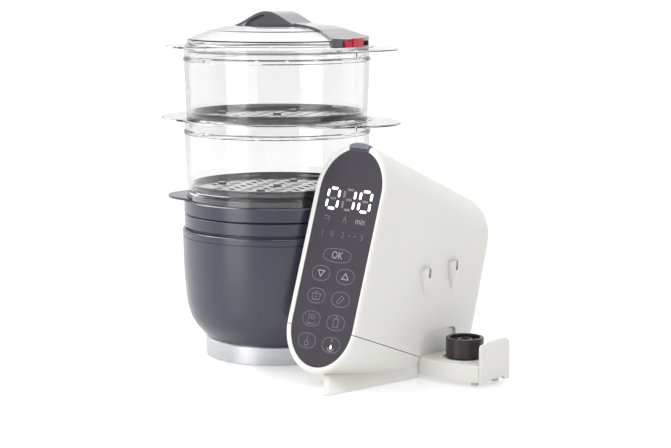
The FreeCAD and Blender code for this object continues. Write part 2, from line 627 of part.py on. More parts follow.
guide = stadium(PANEL_R - 4.4, PANEL_HALF, -4.9, -2.7, PANEL_X).cut(panel_box(-31.0, 31.0, 43.0, 68.0, -12, 10))
put("light_guide", guide)
put("display_module", fuse([panel_box(-30.4, 30.4, 43.6, 67.4, -6.2, -2.8), panel_box(-26, 26, 45, 66, -8.0, -6.2)]))
frame_ring = stadium(PANEL_R - 0.6, PANEL_HALF, -8.2, -5.1, PANEL_X).cut(
    stadium(PANEL_R - 4.6, PANEL_HALF, -20, 5, PANEL_X))
frame_ring = frame_ring.cut(panel_box(-BTN_W - 1.0, BTN_W + 1.0, 96.0, 130.0, -30, 10))
put("panel_frame", frame_ring)
board = [panel_box(-32.0, 32.0, -92.0, 84.0, -10.2, -8.6)]
board += [panel_box(-10, 4, -20, -6, -12.4, -10.2), panel_box(10, 24, 8, 20, -12.0, -10.2),
          panel_box(-26, -16, 30, 52, -16.0, -10.2), panel_box(-20, 20, -84, -74, -18.0, -10.2),
          panel_box(14, 22, -40, -24, -13.4, -10.2), Part.makeCylinder(7.0, 6.0, pp(16.0, 60.0, -10.2), N_DIR * -1)]
put("control_board", fuse(board))
put("key_sensors", group([Part.makeCylinder(7.2, 3.2, pp(x, t, -8.5), N_DIR) for x, t in
                          ((0.0, 2.0), (-16.0, -16.4), (16.0, -16.4), (-16.0, -38.0), (16.0, -38.0), (-16.0, -60.0),
                           (16.0, -60.0), (-16.0, -81.0), (16.0, -81.0))]))

# power button at the top of the rim, its stem, spring and switch
top_arc = Part.Arc(pp(BTN_W - 0.6, BTN_T1 - 2.0, -4.3), pp(0, BTN_T1, -4.3), pp(-BTN_W + 0.6, BTN_T1 - 2.0, -4.3)).toShape()
ends = [pp(-BTN_W + 0.6, BTN_T1 - 2.0, -4.3), pp(-BTN_W, BTN_T0, -4.3), pp(BTN_W, BTN_T0, -4.3),
        pp(BTN_W - 0.6, BTN_T1 - 2.0, -4.3)]
btn = Part.Face(Part.Wire([top_arc] + [Part.LineSegment(a, b).toShape() for a, b in zip(ends, ends[1:])])).extrude(N_DIR * 5.3)
try:
    es = [e for e in btn.Edges if all((v.Point - pp(0, BTN_T0 + 1.0, 0)).dot(T_DIR) > 0 for v in e.Vertexes)
          and all((v.Point - pp(0, 0, 0.9)).dot(N_DIR) > 0 for v in e.Vertexes)]
    btn = btn.makeFillet(1.2, es)
except Exception as exc:
    print("button fillet failed", exc)
# skirt behind the panel, and the stem
btn = btn.fuse([panel_box(-BTN_W + 0.8, BTN_W - 0.8, 101.7, BTN_T0 + 0.5, -4.3, -2.9),
                panel_box(-3.6, 3.6, 101.7, BTN_T0 + 0.5, -9.0, -2.9),
                panel_box(-3.6, 3.6, 96.0, 103.0, -9.0, -5.8)]).removeSplitter()
put("power_button", btn)
put("button_switch", fuse([panel_box(-6.0, 6.0, 84.6, 91.2, -12.0, -5.3), panel_box(-1.6, 1.6, 91.2, 93.6, -9.0, -5.8),
                           panel_box(-4.4, 4.4, 88.0, 91.0, -18.6, -12.0)]))
coil = Part.makeHelix(1.5, 5.2, 2.5)
prof = Part.Wire(Part.makeCircle(0.56, V(2.5, 0, 0), V(0, 1, 0)))
spring = Part.Wire(coil).makePipeShell([prof], True, True)
spring.Placement = FreeCAD.Placement(pp(0, 91.7, -15.2), FreeCAD.Rotation(V(0, 0, 1), T_DIR))
put("button_spring", spring)
arm = panel_box(-3.6, 3.6, 97.6, 99.4, -18.0, -9.0)
NODES["power_button"] = NODES["power_button"].fuse(arm).removeSplitter()
print("power button with arm", len(NODES["power_button"].Solids), NODES["power_button"].isValid())

# power board across the rear of the casing
pcb = [ubox(-62.0, -60.4, 108.0, 184.0, 62.0, 138.0), ubox(-60.4, -44.0, 160.0, 178.0, 110.0, 128.0)]
pcb += [Part.makeCylinder(r, h, V(ux(-60.4), uy(y), z), V(1, 0, 0)) for r, h, y, z in
        ((6.0, 22.0, 124.0, 120.0), (6.0, 22.0, 140.0, 120.0), (4.0, 16.0, 170.0, 80.0))]
put("power_board", fuse(pcb))
put("transformer", fuse([ubox(-60.4, -32.0, 120.0, 152.0, 72.0, 100.0), ubox(-58.0, -34.0, 116.0, 156.0, 77.0, 95.0)]))
put("board_posts", group([Part.makeCylinder(3.0, 23.4, V(ux(-85.4), uy(y), z), V(1, 0, 0))
                          for y, z in ((112.0, 66.0), (112.0, 126.0), (180.0, 66.0), (180.0, 126.0))]))

# two-pin power inlet in the back wall
inl = fuse([box(-11.0, 11.0, -18.0, 0.9, -8.0, 8.0), box(-13.5, 13.5, 0.05, 1.8, -10.5, 10.5)])
cav = fuse([Part.makeCylinder(5.4, 16.0, V(-4.4, -14.0, 0), V(0, 1, 0)), Part.makeCylinder(5.4, 16.0, V(4.4, -14.0, 0), V(0, 1, 0)),
            box(-4.4, 4.4, -14.0, 2.0, -4.6, 4.6)])
inl = inl.cut(cav)
put("power_inlet", back_frame(inl))
put("inlet_pins", back_frame(group([Part.makeCylinder(1.2, 11.0, V(x, -14.0, 0), V(0, 1, 0)) for x in (-4.4, 4.4)])))

# ===========================================================================
# Side hooks: scoops that grow out of the wall, with a pocket open at the top and a slit in front
# ===========================================================================
HOOKS = [(124.0, 77.0), (162.5, 80.0)]
# height above the point, half width, reach from the wall
HOOK_RISE = [(0.0, 0.9, 0.6), (5.0, 2.7, 2.2), (11.0, 4.5, 4.2), (17.0, 5.8, 5.8), (22.0, 6.4, 6.6), (26.0, 6.6, 6.9),
             (29.0, 6.5, 6.8)]


def half_oval(y, z, w, reach, x0=0.0):
    """Half ellipse standing on the wall at height z, bulging out in +X."""
    a, b = V(ux(x0), uy(y - w), z), V(ux(x0), uy(y + w), z)
    pts = [V(ux(x0 + reach * math.sin(math.pi * i / 8)), uy(y - w * math.cos(math.pi * i / 8)), z) for i in range(9)]
    c = Part.BSplineCurve()
    c.interpolate(pts)
    return Part.Wire([c.toShape(), Part.LineSegment(b, a).toShape()])


def hook(y, z):
    s = Part.makeLoft([half_oval(y, z + h, w, r) for h, w, r in HOOK_RISE], True, False)
    pocket = Part.makeLoft([half_oval(y, z + h, 4.9, 5.5, 0.3) for h in (17.0, 40.0)], True, False)
    s = s.cut(pocket)
    s = s.cut(ubox(0.3, 20.0, y - 1.5, y + 1.5, z + 19.5, z + 60.0))
    # the lobes' tops fall away from the slit
    for k in (-1, 1):
        top = prism_x([(uy(y + k * 1.5), z + 29.4), (uy(y + k * 4.2), z + 28.6), (uy(y + k * 8.0), z + 24.0),
                       (uy(y + k * 8.0), z + 40.0), (uy(y + k * 1.5), z + 40.0)], ux(-1), ux(20))
        s = s.cut(top)
    return s


put("side_hooks", group([hook(*q).Solids[0] for q in HOOKS]))

# ===========================================================================
# Blender foot: bay, rails, carriage, motor and coupling
# ===========================================================================
BAY_Y0, BAY_Y1 = 116.9, 168.9
BAY_X0, BAY_X1, BAY_Z1 = -84.9, -2.7, 44.4
bay = ubox(BAY_X0, BAY_X1, BAY_Y0 - 1.0, BAY_Y1 + 1.4, 1.2, BAY_Z1 + 1.6)
bay = bay.cut(ubox(BAY_X0 + 1.4, 10, BAY_Y0, BAY_Y1, -5, BAY_Z1))
bay = bay.cut(ubox(-5.7, 10, BAY_Y0 - 3, BAY_Y0 + 0.6, -5, 60)).cut(ubox(-90, -81.7, BAY_Y0 - 3, BAY_Y0 + 0.6, -5, 60))
put("foot_bay", bay)
# rails under the bay's ceiling, which run in notches of the foot's back wall
RAIL_Y = (121.8, 163.6)
put("slide_rails", group([ubox(-80.0, -7.0, y - 0.9, y + 0.9, BAY_Z1 - 2.0, BAY_Z1) for y in RAIL_Y]))


def foot_plan(d, x0, x1, z0, z1):
    """The foot's outline, set in by d, between two heights."""
    side = [V(ux(min(x, x1)), uy(y + d), z0) for x, y in FOOT_SIDE]
    c = Part.BSplineCurve()
    c.interpolate(side)
    a, b = V(ux(x0), uy(FOOT_Y0 + d), z0), V(ux(x0), uy(FOOT_Y1 - d), z0)
    e, g = V(side[-1].x, uy(FOOT_Y1 - d), z0), side[-1]
    w = Part.Wire([Part.LineSegment(a, side[0]).toShape(), c.toShape(), Part.LineSegment(g, e).toShape(),
                   Part.LineSegment(e, b).toShape(), Part.LineSegment(b, a).toShape()])
    return Part.Face(w).extrude(V(0, 0, z1 - z0))


car = foot_plan(0.0, FOOT_X0, FOOT_X1 - 3.6, FOOT_Z0, FOOT_Z1)
top_edges = [e for e in car.Edges if abs(e.BoundBox.ZMin - FOOT_Z1) < 0.01 and e.BoundBox.YMax < uy(FOOT_Y0 + 12.0)]
try:
    c2 = car.makeFillet(1.2, top_edges)
    car = c2 if c2.isValid() else car
except Exception as exc:
    print("foot edge fillet failed", exc)
plug = ubox(-5.9, -3.5, BAY_Y0 + 0.4, BAY_Y1 - 0.4, FOOT_Z1 - 1, BAY_Z1 - 0.9)
for y in RAIL_Y:
    plug = plug.cut(ubox(-9, 0, y - 1.3, y + 1.3, BAY_Z1 - 2.4, 60))
hollow = foot_plan(2.3, FOOT_X0 + 3.0, FOOT_X1 - 6.4, FOOT_Z0 - 1, FOOT_Z1 - 2.4)
seat = ring(24.2, 20.4, ux(DRIVE_X), uy(DRIVE_Y), FOOT_Z1 - 0.5, FOOT_Z1 + 1.5).common(
    foot_plan(1.2, FOOT_X0, FOOT_X1 - 4.0, 0, 60))
car = car.fuse(plug).cut(hollow).fuse(seat).removeSplitter()
car = car.cut(ucyl(5.2, DRIVE_X, DRIVE_Y, 10, 30))
put("foot_carriage", car)

# upright end plate, a pull for the foot
plate_pts = [(128.0, 2.8), (128.0, 36.4), (128.5, 38.0), (129.8, 39.1), (132.0, 39.7), (136.0, 40.3), (141.0, 41.0),
             (147.0, 41.7), (153.0, 42.2), (158.0, 42.4), (162.0, 42.2), (164.6, 41.4), (166.6, 39.9), (167.6, 38.0),
             (168.0, 35.6), (168.0, 2.8), (161.4, 2.8), (160.0, 6.0), (142.0, 6.0), (133.0, 2.8)]
plate = prism_x([(uy(a), b) for a, b in plate_pts], ux(FOOT_X1 - 3.6), ux(FOOT_X1))
put("foot_end_plate", plate)
cover = foot_plan(2.8, FOOT_X0 + 3.4, FOOT_X1 - 6.8, FOOT_Z0, FOOT_Z0 + 1.2)
put("foot_cover", cover)
put("foot_pads", group([ucyl(3.6, 56.0, y, 0.0, FOOT_Z0) for y in (132.0, 161.0)]))

mx, my = ux(DRIVE_X), uy(DRIVE_Y)
put("motor_base", fuse([cyl(18.9, mx, my, 5.2, 6.5), cyl(7.6, mx, my, 6.5, 14.2)]).cut(cyl(5.5, mx, my, 5.8, 20)).cut(
    cyl(3.2, mx, my, 0, 20)))
core = ring(15.0, 7.6, mx, my, 7.2, 13.6)
for k in range(9):
    s = Part.makeBox(5.0, 1.6, 12.0, V(mx + 10.5, my - 0.8, 4.0))
    s.rotate(V(mx, my, 0), V(0, 0, 1), 40.0 * k)
    core = core.cut(s)
core = fuse([core] + [around(box(mx + 9.2, mx + 13.6, my - 2.6, my + 2.6, 13.6, 14.9), 20 + 40.0 * k, mx, my)
                      for k in range(9)])
put("motor_stator", core)
put("motor_bearings", group([ring(5.5, SHAFT_R + 0.04, mx, my, z, z + 4.0) for z in (5.9, 10.1)]))
put("motor_rotor", fuse([ring(18.4, 15.5, mx, my, 7.2, 14.6), ring(18.4, 16.8, mx, my, 14.6, 15.4),
                         ring(18.4, SHAFT_R, mx, my, 15.4, 16.9)]))
put("drive_shaft", fuse([cyl(SHAFT_R, mx, my, 5.9, 34.0), cyl(3.9, mx, my, 16.9, COUPLING_Z0)]).removeSplitter())
put("shaft_seal", ring(5.2, 3.95, mx, my, FOOT_Z1 - 2.4, FOOT_Z1))

coupling = fuse([ring(COUPLING_R, 14.6, mx, my, COUPLING_Z0, COUPLING_Z1), ring(14.6, SHAFT_R, mx, my, COUPLING_Z0, 25.0),
                 ring(7.4, SHAFT_R, mx, my, 25.0, 38.6)] +
                [around(box(mx + 9.6, mx + 14.8, my - 1.8, my + 1.8, 25.0, 38.0), 60.0 * k, mx, my) for k in range(6)])
coupling = coupling.cut(cyl(4.5, mx, my, 34.0, 60))
try:
    es = [e for e in coupling.Edges if abs(e.BoundBox.ZMin - COUPLING_Z1) < 0.01 and abs(e.BoundBox.ZMax - COUPLING_Z1) < 0.01]
    coupling = coupling.makeFillet(0.8, es)
except Exception as exc:
    print("coupling fillet failed", exc)
put("drive_coupling", coupling)

# spring contacts that feed the motor only when the foot is pulled out
put("bay_contacts", group([ubox(-26.0, -9.0, y - 1.4, y + 1.4, BAY_Z1 - 0.5, BAY_Z1) for y in (136.0, 145.0, 154.0)]))
put("foot_contacts", group([ubox(-6.7, -5.9, y - 2.0, y + 2.0, 36.0, 42.6) for y in (136.0, 145.0, 154.0)]))

# ===========================================================================
lo = [1e9] * 3
hi = [-1e9] * 3
for name, s in NODES.items():
    b = s.optimalBoundingBox(True, False)
    for i, (a, c) in enumerate(((b.XMin, b.XMax), (b.YMin, b.YMax), (b.ZMin, b.ZMax))):
        lo[i] = min(lo[i], a)
        hi[i] = max(hi[i], c)
    s.exportStep("parts/%s.step" % name)
print("nodes", len(NODES))
print("box", [round(v, 3) for v in lo], [round(v, 3) for v in hi])
print("centre", [round((a + c) / 2, 3) for a, c in zip(lo, hi)])
print("tower axis", round(TX, 3), round(TY, 3), "drive", round(mx, 3), round(my, 3))
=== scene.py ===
import math

import bmesh
import bpy
from mathutils import Matrix, Vector


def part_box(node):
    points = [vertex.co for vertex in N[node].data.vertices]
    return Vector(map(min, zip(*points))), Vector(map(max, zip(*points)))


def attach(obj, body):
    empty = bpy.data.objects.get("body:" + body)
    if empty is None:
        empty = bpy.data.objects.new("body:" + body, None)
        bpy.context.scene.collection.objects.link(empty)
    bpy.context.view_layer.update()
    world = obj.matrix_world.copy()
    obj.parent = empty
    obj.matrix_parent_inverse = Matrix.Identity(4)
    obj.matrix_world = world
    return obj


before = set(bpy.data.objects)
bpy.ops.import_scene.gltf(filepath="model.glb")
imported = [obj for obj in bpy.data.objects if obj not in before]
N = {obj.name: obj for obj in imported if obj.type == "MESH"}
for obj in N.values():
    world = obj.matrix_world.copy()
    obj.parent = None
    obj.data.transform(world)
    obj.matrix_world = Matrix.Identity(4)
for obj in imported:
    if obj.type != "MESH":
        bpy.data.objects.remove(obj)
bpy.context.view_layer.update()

MM = 0.001

# ---------------------------------------------------------------------------
# Reference lines, in millimetres, taken from the frame
# ---------------------------------------------------------------------------
_lo, _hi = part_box("foot_ring")
TX, TY = (_lo.x + _hi.x) * 500.0, (_lo.y + _hi.y) * 500.0
RIGHT_X, TOE_Y = TX + 186.4, TY - 107.6
MID_X = RIGHT_X - 44.0
PILL_Y, PILL_Z, LEAN = 49.0, 118.7, 17.0
SL, CL = math.sin(math.radians(LEAN)), math.cos(math.radians(LEAN))
PANEL_N = -0.5            # front face of the dark panel, along its normal


def P(x, t, n):
    """Panel point in metres: x from the mid-plane, t up the panel, n out of it."""
    return Vector((MID_X + x, TOE_Y + PILL_Y + t * SL - n * CL, PILL_Z + t * CL + n * SL)) * MM


# ---------------------------------------------------------------------------
# Materials
# ---------------------------------------------------------------------------
class Mat:
    def __init__(self, name):
        self.m = bpy.data.materials.new(name)
        self.m.use_nodes = True
        self.nt = self.m.node_tree
        self.nt.nodes.clear()
        out = self.nt.nodes.new("ShaderNodeOutputMaterial")
        self.b = self.nt.nodes.new("ShaderNodeBsdfPrincipled")
        self.link(self.b.outputs[0], out.inputs[0])
        self.tc = self.nt.nodes.new("ShaderNodeTexCoord")

    def link(self, a, b):
        self.nt.links.new(a, b)

    def set(self, **k):
        for key, v in k.items():
            self.b.inputs[key.replace("_", " ")].default_value = v
        return self

    def coords(self, scale=(1, 1, 1), loc=(0, 0, 0)):
        mp = self.nt.nodes.new("ShaderNodeMapping")
        mp.inputs["Scale"].default_value = scale
        mp.inputs["Location"].default_value = loc
        self.link(self.tc.outputs["Object"], mp.inputs["Vector"])
        return mp.outputs[0]

    def noise(self, scale, detail=3.0, rough=0.5, vec=None):
        n = self.nt.nodes.new("ShaderNodeTexNoise")
        n.inputs["Scale"].default_value = scale
        n.inputs["Detail"].default_value = detail
        n.inputs["Roughness"].default_value = rough
        self.link(vec if vec is not None else self.tc.outputs["Object"], n.inputs["Vector"])
        return n.outputs["Fac"]

    def ramp(self, fac, stops):
        r = self.nt.nodes.new("ShaderNodeValToRGB")
        e = r.color_ramp.elements
        while len(e) < len(stops):
            e.new(0.5)
        for el, (p, c) in zip(e, stops):
            el.position = p
            el.color = (*c, 1.0) if len(c) == 3 else c
        self.link(fac, r.inputs["Fac"])
        return r.outputs["Color"]

    def range(self, fac, lo, hi, a=0.3, b=0.7):
        r = self.nt.nodes.new("ShaderNodeMapRange")
        r.inputs["From Min"].default_value = a
        r.inputs["From Max"].default_value = b
        r.inputs["To Min"].default_value = lo
        r.inputs["To Max"].default_value = hi
        self.link(fac, r.inputs["Value"])
        return r.outputs["Result"]

    def bump(self, height, strength, dist):
        b = self.nt.nodes.new("ShaderNodeBump")
        b.inputs["Strength"].default_value = strength
        b.inputs["Distance"].default_value = dist
        self.link(height, b.inputs["Height"])
        self.link(b.outputs["Normal"], self.b.inputs["Normal"])
        return self


def moulded(name, c0, c1, rough, grain=1800.0, bump=0.06, blotch=9.0, **k):
    """Moulded plastic: faint uneven colour, flow marks in the gloss, fine spark grain."""
    m = Mat(name)
    m.link(m.ramp(m.noise(blotch, 4.0, 0.6), [(0.3, c0), (0.7, c1)]), m.b.inputs["Base Color"])
    m.link(m.range(m.noise(blotch * 5.0, 4.0, 0.6), *rough), m.b.inputs["Roughness"])
    m.bump(m.noise(grain, 2.0, 0.6), bump, 0.0003)
    return m.set(**k).m


def metal(name, c0, c1, rough, stretch=(1, 1, 60), bump=0.05, scale=60.0, **k):
    """Metal with fine drawn lines along one direction."""
    m = Mat(name)
    lines = m.noise(scale, 4.0, 0.7, m.coords(stretch))
    m.link(m.ramp(lines, [(0.3, c0), (0.7, c1)]), m.b.inputs["Base Color"])
    m.link(m.range(lines, *rough), m.b.inputs["Roughness"])
    m.bump(lines, bump, 0.0002)
    return m.set(Metallic=1.0, **k).m


def clear(name, tint0, tint1, rough, ior=1.46, edge_shade=1.0):
    """Clear moulded polycarbonate with slight flow waviness. Seen edge-on the wall is coloured darker: partly the
    longer path through it, partly painted shade for the grey edge lines.
    """
    m = Mat(name)
    lw = m.nt.nodes.new("ShaderNodeLayerWeight")
    lw.inputs["Blend"].default_value = 0.5
    # painted shade: the colour darkens to the edge value where the wall is seen edge-on
    depth_and_edge_shade = m.ramp(lw.outputs["Facing"], [(0.70, (1.0, 1.0, 1.0)), (0.84, (edge_shade, edge_shade, edge_shade))])
    mul = m.nt.nodes.new("ShaderNodeVectorMath")
    mul.operation = "MULTIPLY"
    m.link(m.ramp(m.noise(14.0, 2.0), [(0.3, tint0), (0.7, tint1)]), mul.inputs[0])
    m.link(depth_and_edge_shade, mul.inputs[1])
    m.link(mul.outputs[0], m.b.inputs["Base Color"])
    m.link(m.range(m.noise(45.0, 3.0), *rough), m.b.inputs["Roughness"])
    m.bump(m.noise(28.0, 1.0, 0.4), 0.05, 0.0006)
    return m.set(Transmission_Weight=1.0, IOR=ior).m


def lit(name, c, strength, base):
    m = Mat(name)
    m.link(m.ramp(m.noise(300.0), [(0.3, base), (0.7, tuple(x * 0.93 for x in base))]), m.b.inputs["Base Color"])
    m.link(m.range(m.noise(700.0), 0.35, 0.5), m.b.inputs["Roughness"])
    return m.set(Emission_Color=(*c, 1.0), Emission_Strength=strength).m


WHITE = moulded("white_shell", (0.700, 0.696, 0.662), (0.728, 0.724, 0.690), (0.34, 0.44), 1500.0, 0.05)
WHITE_IN = moulded("white_inner", (0.78, 0.78, 0.74), (0.82, 0.82, 0.78), (0.45, 0.58), 900.0, 0.09)
DARK = moulded("anthracite", (0.012, 0.014, 0.034), (0.016, 0.018, 0.040), (0.20, 0.26), 2600.0, 0.05, 7.0,
               Specular_IOR_Level=0.90)
TRAY = moulded("dark_tray", (0.013, 0.015, 0.034), (0.018, 0.020, 0.042), (0.07, 0.12), 1500.0, 0.012,
               Coat_Weight=0.6, Coat_Roughness=0.05)
PANEL = moulded("panel", (0.040, 0.036, 0.047), (0.045, 0.041, 0.052), (0.34, 0.40), 3200.0, 0.03, 6.0,
                Specular_IOR_Level=0.25)
HANDLE = moulded("handle_grey", (0.042, 0.042, 0.059), (0.049, 0.049, 0.067), (0.15, 0.21), 1500.0, 0.03,
                 Coat_Weight=1.0, Coat_Roughness=0.08, Coat_IOR=1.75)
BUTTON = moulded("button_grey", (0.136, 0.142, 0.170), (0.152, 0.158, 0.188), (0.34, 0.44), 1500.0, 0.07)
RED = moulded("red", (0.58, 0.016, 0.046), (0.64, 0.022, 0.056), (0.20, 0.28), 1500.0, 0.04)
COUPLING = moulded("coupling_dark", (0.026, 0.018, 0.020), (0.036, 0.025, 0.028), (0.20, 0.30), 1400.0, 0.05,
                   Specular_IOR_Level=0.35)
RUBBER = moulded("rubber", (0.030, 0.030, 0.031), (0.042, 0.042, 0.043), (0.70, 0.85), 900.0, 0.2)
SEAL = moulded("seal", (0.50, 0.50, 0.50), (0.58, 0.58, 0.57), (0.40, 0.52), 900.0, 0.08, Transmission_Weight=0.35)
BLACK = moulded("black_plastic", (0.022, 0.022, 0.024), (0.032, 0.032, 0.034), (0.42, 0.55), 1200.0, 0.1)
PCB = moulded("pcb", (0.018, 0.10, 0.04), (0.03, 0.15, 0.06), (0.35, 0.5), 700.0, 0.06, 60.0)
MILKY = moulded("light_plastic", (0.78, 0.78, 0.78), (0.84, 0.84, 0.83), (0.3, 0.4), 900.0, 0.04, Transmission_Weight=0.4)
SILVER = metal("silver", (0.54, 0.545, 0.56), (0.62, 0.625, 0.64), (0.32, 0.42), (1, 1, 45), 0.05, 40.0)
STEEL = metal("steel", (0.50, 0.50, 0.51), (0.60, 0.60, 0.61), (0.22, 0.34))
WELL = metal("well_steel", (0.52, 0.52, 0.52), (0.64, 0.64, 0.64), (0.24, 0.36), (1, 1, 30), 0.06)
CAST = metal("cast_aluminium", (0.55, 0.55, 0.56), (0.66, 0.66, 0.67), (0.45, 0.6), (1, 1, 1), 0.2, 500.0)
BRASS = metal("brass", (0.62, 0.43, 0.17), (0.74, 0.55, 0.25), (0.25, 0.38))
CLEAR = clear("clear", (0.914, 0.908, 0.909), (0.930, 0.924, 0.925), (0.0, 0.02), 1.46, 0.36)
CLEAR_LID = clear("clear_lid", (0.965, 0.966, 0.968), (0.978, 0.979, 0.981), (0.06, 0.11), 1.21, 0.95)
PAD = moulded("pad_light", (0.50, 0.50, 0.47), (0.56, 0.56, 0.53), (0.60, 0.75), 900.0, 0.15)
DIGIT = lit("digit_lit", (1.0, 1.0, 1.0), 1.6, (0.9, 0.9, 0.9))
GHOST = lit("digit_ghost", (0.62, 0.57, 0.55), 0.05, (0.16, 0.145, 0.145))
ICON = lit("icon_print", (0.75, 0.73, 0.80), 0.04, (0.28, 0.27, 0.31))
MARK = lit("key_mark", (0.6, 0.58, 0.66), 0.015, (0.130, 0.123, 0.147))
FAINT = lit("faint_print", (0.6, 0.58, 0.66), 0.015, (0.115, 0.108, 0.130))
OUTLINE = lit("key_outline", (0.6, 0.58, 0.66), 0.015, (0.118, 0.111, 0.134))

BY_NODE = {
    WHITE: ["lower_shell", "upper_shell", "side_hooks", "foot_end_plate", "foot_carriage", "dock_bridge",
            "bottom_cover_front", "bottom_cover_rear"],
    WHITE_IN: ["foot_bay", "foot_cover", "board_posts"],
    DARK: ["bowl_housing", "well_collar", "juice_tray", "juice_chimney"],
    TRAY: ["lower_tray", "upper_tray"],
    PANEL: ["panel_overlay"],
    HANDLE: ["lid_handle"],
    BUTTON: ["power_button"],
    RED: ["vent_slider"],
    COUPLING: ["drive_coupling"],
    RUBBER: ["tower_feet", "unit_feet", "shaft_seal"],
    PAD: ["foot_pads"],
    SEAL: ["well_gasket", "lid_seal"],
    BLACK: ["base_plate", "thermostat", "wire_harness", "display_module", "panel_frame", "button_switch", "power_inlet"],
    PCB: ["control_board", "power_board"],
    MILKY: ["light_guide"],
    SILVER: ["foot_ring"],
    STEEL: ["tower_screws", "heating_element", "unit_screws", "button_spring", "transformer", "slide_rails",
            "motor_stator", "motor_bearings", "motor_rotor", "drive_shaft"],
    WELL: ["water_well"],
    CAST: ["heater_plate", "motor_base"],
    BRASS: ["thermal_fuse", "key_sensors", "inlet_pins", "bay_contacts", "foot_contacts"],
    CLEAR: ["lower_basket", "upper_basket"],
    CLEAR_LID: ["lid_shell"],
}
done = set()
for mat, names in BY_NODE.items():
    for n in names:
        N[n].data.materials.clear()
        N[n].data.materials.append(mat)
        done.add(n)
missing = sorted(set(N) - done)
if missing:
    raise RuntimeError("no material for %s" % missing)


# ---------------------------------------------------------------------------
# Panel print and display: thin raised shapes on the dark panel
# ---------------------------------------------------------------------------
class Print:
    """Collects flat shapes in panel coordinates and makes one thin closed mesh of them."""

    def __init__(self, name, mat, slot, n0=PANEL_N + 0.01, n1=PANEL_N + 0.09):
        self.name, self.mat, self.slot, self.n0, self.n1 = name, mat, slot, n0, n1
        self.bm = bmesh.new()

    def poly(self, pts):
        area = sum(a[0] * b[1] - b[0] * a[1] for a, b in zip(pts, pts[1:] + pts[:1]))
        if area < 0:
            pts = pts[::-1]
        lo = [self.bm.verts.new(P(x, t, self.n0)) for x, t in pts]
        hi = [self.bm.verts.new(P(x, t, self.n1)) for x, t in pts]
        self.bm.faces.new(hi)
        self.bm.faces.new(lo[::-1])
        k = len(pts)
        for i in range(k):
            j = (i + 1) % k
            self.bm.faces.new((lo[i], lo[j], hi[j], hi[i]))
        return self

    def loop(self, outer, inner):
        k = len(outer)
        ring = [[self.bm.verts.new(P(x, t, n)) for x, t in pts] for pts in (outer, inner) for n in (self.n0, self.n1)]
        ol, oh, il, ih = ring
        for i in range(k):
            j = (i + 1) % k
            self.bm.faces.new((oh[i], oh[j], ih[j], ih[i]))
            self.bm.faces.new((ol[j], ol[i], il[i], il[j]))
            self.bm.faces.new((ol[i], ol[j], oh[j], oh[i]))
            self.bm.faces.new((il[j], il[i], ih[i], ih[j]))
        return self

    def oval(self, cx, ct, w, h, stroke, power=2.0, n=48):
        def pts(a, b):
            out = []
            for i in range(n):
                u = 2 * math.pi * i / n
                c, s = math.cos(u), math.sin(u)
                out.append((cx + a * math.copysign(abs(c) ** (2 / power), c), ct + b * math.copysign(abs(s) ** (2 / power), s)))
            return out
        return self.loop(pts(w / 2, h / 2), pts(w / 2 - stroke, h / 2 - stroke))

    def pill(self, cx, ct, w, h, stroke=None, n=12):
        def pts(w, h):
            r = min(w, h) / 2
            out = []
            for qx, qt, a0 in ((1, 1, 0), (-1, 1, 90), (-1, -1, 180), (1, -1, 270)):
                for i in range(n + 1):
                    a = math.radians(a0 + 90 * i / n)
                    out.append((cx + qx * (w / 2 - r) + r * math.cos(a), ct + qt * (h / 2 - r) + r * math.sin(a)))
            clean = []
            for p in out:
                if not clean or math.hypot(p[0] - clean[-1][0], p[1] - clean[-1][1]) > 1e-4:
                    clean.append(p)
            if math.hypot(clean[0][0] - clean[-1][0], clean[0][1] - clean[-1][1]) < 1e-4:
                clean.pop()
            return clean
        if stroke is None:
            return self.poly(pts(w, h))
        a, b = pts(w, h), pts(w - 2 * stroke, h - 2 * stroke)
        return self.loop(a, b) if len(a) == len(b) else self

    def line(self, pts, w):
        """Stroke of even width along a polyline."""
        left, right = [], []
        for i, p in enumerate(pts):
            a = pts[max(0, i - 1)]
            b = pts[min(len(pts) - 1, i + 1)]
            dx, dt = b[0] - a[0], b[1] - a[1]
            L = math.hypot(dx, dt) or 1.0
            nx, nt = -dt / L * w / 2, dx / L * w / 2
            if 0 < i < len(pts) - 1:
                d1 = (p[0] - a[0], p[1] - a[1])
                l1 = math.hypot(*d1) or 1.0
                k = max(0.55, abs((d1[0] * dx + d1[1] * dt) / (l1 * L)))
                nx, nt = nx / k, nt / k
            left.append((p[0] + nx, p[1] + nt))
            right.append((p[0] - nx, p[1] - nt))
        return self.poly(left + right[::-1])

    def arc(self, cx, ct, r, a0, a1, w, n=14):
        return self.line([(cx + r * math.cos(math.radians(a0 + (a1 - a0) * i / n)),
                           ct + r * math.sin(math.radians(a0 + (a1 - a0) * i / n))) for i in range(n + 1)], w)

    def text(self, s, cx, ct, size):
        cu = bpy.data.curves.new("t", "FONT")
        cu.body, cu.size, cu.align_x, cu.align_y = s, size, "CENTER", "CENTER"
        cu.extrude = (self.n1 - self.n0) / 2
        cu.resolution_u = 4
        ob = bpy.data.objects.new("t", cu)
        bpy.context.scene.collection.objects.link(ob)
        bpy.context.view_layer.update()
        me = bpy.data.meshes.new_from_object(ob.evaluated_get(bpy.context.evaluated_depsgraph_get()))
        bpy.data.objects.remove(ob)
        for v in me.vertices:
            v.co = P(cx + v.co.x, ct + v.co.y, (self.n0 + self.n1) / 2 + v.co.z)
        self.bm.from_mesh(me)
        bpy.data.meshes.remove(me)
        return self

    def make(self):
        bmesh.ops.remove_doubles(self.bm, verts=self.bm.verts, dist=1e-7)
        bmesh.ops.recalc_face_normals(self.bm, faces=self.bm.faces)
        me = bpy.data.meshes.new(self.name)
        self.bm.to_mesh(me)
        self.bm.free()
        me.materials.append(self.mat)
        ob = bpy.data.objects.new(self.name, me)
        bpy.context.scene.collection.objects.link(ob)
        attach(ob, "base")
        return ob


